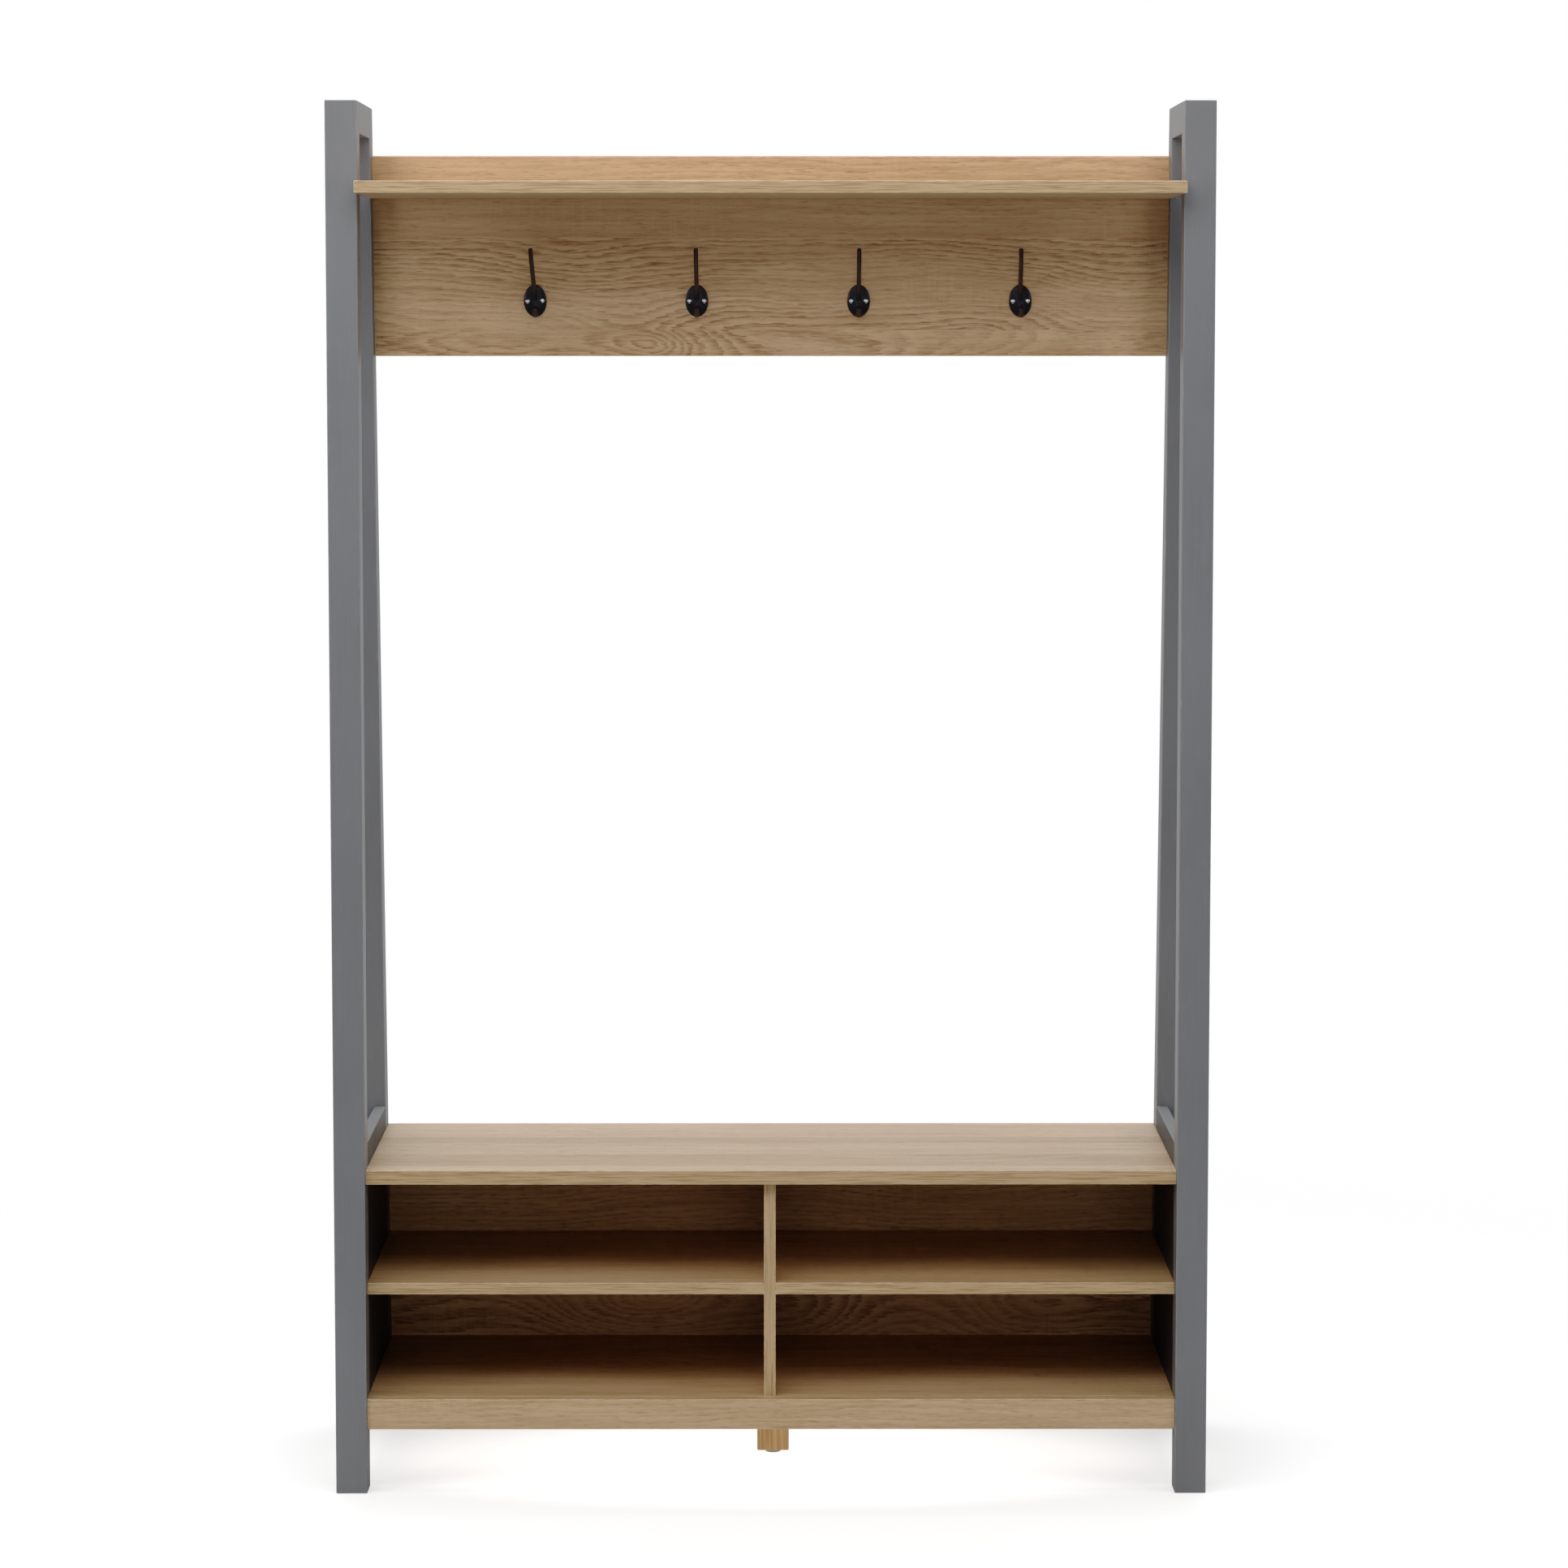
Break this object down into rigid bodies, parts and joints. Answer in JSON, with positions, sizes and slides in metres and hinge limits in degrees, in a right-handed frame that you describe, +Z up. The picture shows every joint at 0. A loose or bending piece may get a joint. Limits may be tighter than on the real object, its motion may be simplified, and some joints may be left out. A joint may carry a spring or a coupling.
{
  "type": "hall tree",
  "caption": "Free-standing hall tree: leaning side frames carry a bench over open shoe cubbies, a hook panel with double coat hooks, and an upper shelf.",
  "frame": {"origin": "middle of the object's outline on the floor, between the upper shelf's front edge and the rear feet", "axes": "+X to the right seen from the front, +Y to the back, +Z up"},
  "size_m": [1.118, 0.433, 1.778],
  "materials": {
    "grey_paint": "satin grey paint on wood",
    "dark_grey_board": "satin dark grey laminate on board",
    "oak_laminate": "matt oak-look laminate with pressed grain",
    "leg_wood": "clear-lacquered solid wood",
    "black_metal": "satin black-bronze coating on cast metal",
    "screw_steel": "zinc-plated steel",
    "zinc": "die-cast zinc alloy",
    "grey_plastic": "matt grey plastic"
  },
  "bodies": {
    "hall_tree": {"front_post_left": "grey_paint", "rear_post_left": "grey_paint", "top_rail_left": "grey_paint", "side_panel_left": "dark_grey_board", "front_post_right": "grey_paint", "rear_post_right": "grey_paint", "top_rail_right": "grey_paint", "side_panel_right": "dark_grey_board", "bench_top": "oak_laminate", "centre_divider": "oak_laminate", "middle_shelf_left": "oak_laminate", "middle_shelf_right": "oak_laminate", "bottom_shelf": "oak_laminate", "front_apron": "oak_laminate", "lower_back_panel": "oak_laminate", "hook_panel": "oak_laminate", "upper_shelf": "oak_laminate", "centre_leg": "leg_wood", "leveller_insert": "zinc", "coat_hook_1": "black_metal", "hook_screw_1_left": "screw_steel", "hook_screw_1_right": "screw_steel", "coat_hook_2": "black_metal", "hook_screw_2_left": "screw_steel", "hook_screw_2_right": "screw_steel", "coat_hook_3": "black_metal", "hook_screw_3_left": "screw_steel", "hook_screw_3_right": "screw_steel", "coat_hook_4": "black_metal", "hook_screw_4_left": "screw_steel", "hook_screw_4_right": "screw_steel", "cam_bolt_bench_left_front": "screw_steel", "cam_lock_bench_left_front": "zinc", "cam_bolt_bench_right_front": "screw_steel", "cam_lock_bench_right_front": "zinc", "cam_bolt_bench_left_rear": "screw_steel", "cam_lock_bench_left_rear": "zinc", "cam_bolt_bench_right_rear": "screw_steel", "cam_lock_bench_right_rear": "zinc", "cam_bolt_bottom_left_front": "screw_steel", "cam_lock_bottom_left_front": "zinc", "cam_bolt_bottom_right_front": "screw_steel", "cam_lock_bottom_right_front": "zinc", "cam_bolt_bottom_left_rear": "screw_steel", "cam_lock_bottom_left_rear": "zinc", "cam_bolt_bottom_right_rear": "screw_steel", "cam_lock_bottom_right_rear": "zinc", "cam_bolt_upper_left_front": "screw_steel", "cam_lock_upper_left_front": "zinc", "cam_bolt_upper_right_front": "screw_steel", "cam_lock_upper_right_front": "zinc", "cam_bolt_hooks_left_low": "screw_steel", "cam_lock_hooks_left_low": "zinc", "cam_bolt_hooks_right_low": "screw_steel", "cam_lock_hooks_right_low": "zinc", "cam_bolt_hooks_left_high": "screw_steel", "cam_lock_hooks_left_high": "zinc", "cam_bolt_hooks_right_high": "screw_steel", "cam_lock_hooks_right_high": "zinc"},
    "leveller": {"leg_leveller": "grey_plastic"}
  },
  "joints": [
    {"name": "leveller_travel", "type": "slide", "parent": "hall_tree", "child": "leveller", "axis": [0, 0, -1], "range_m": [-0.0012, 0.01]}
  ]
}
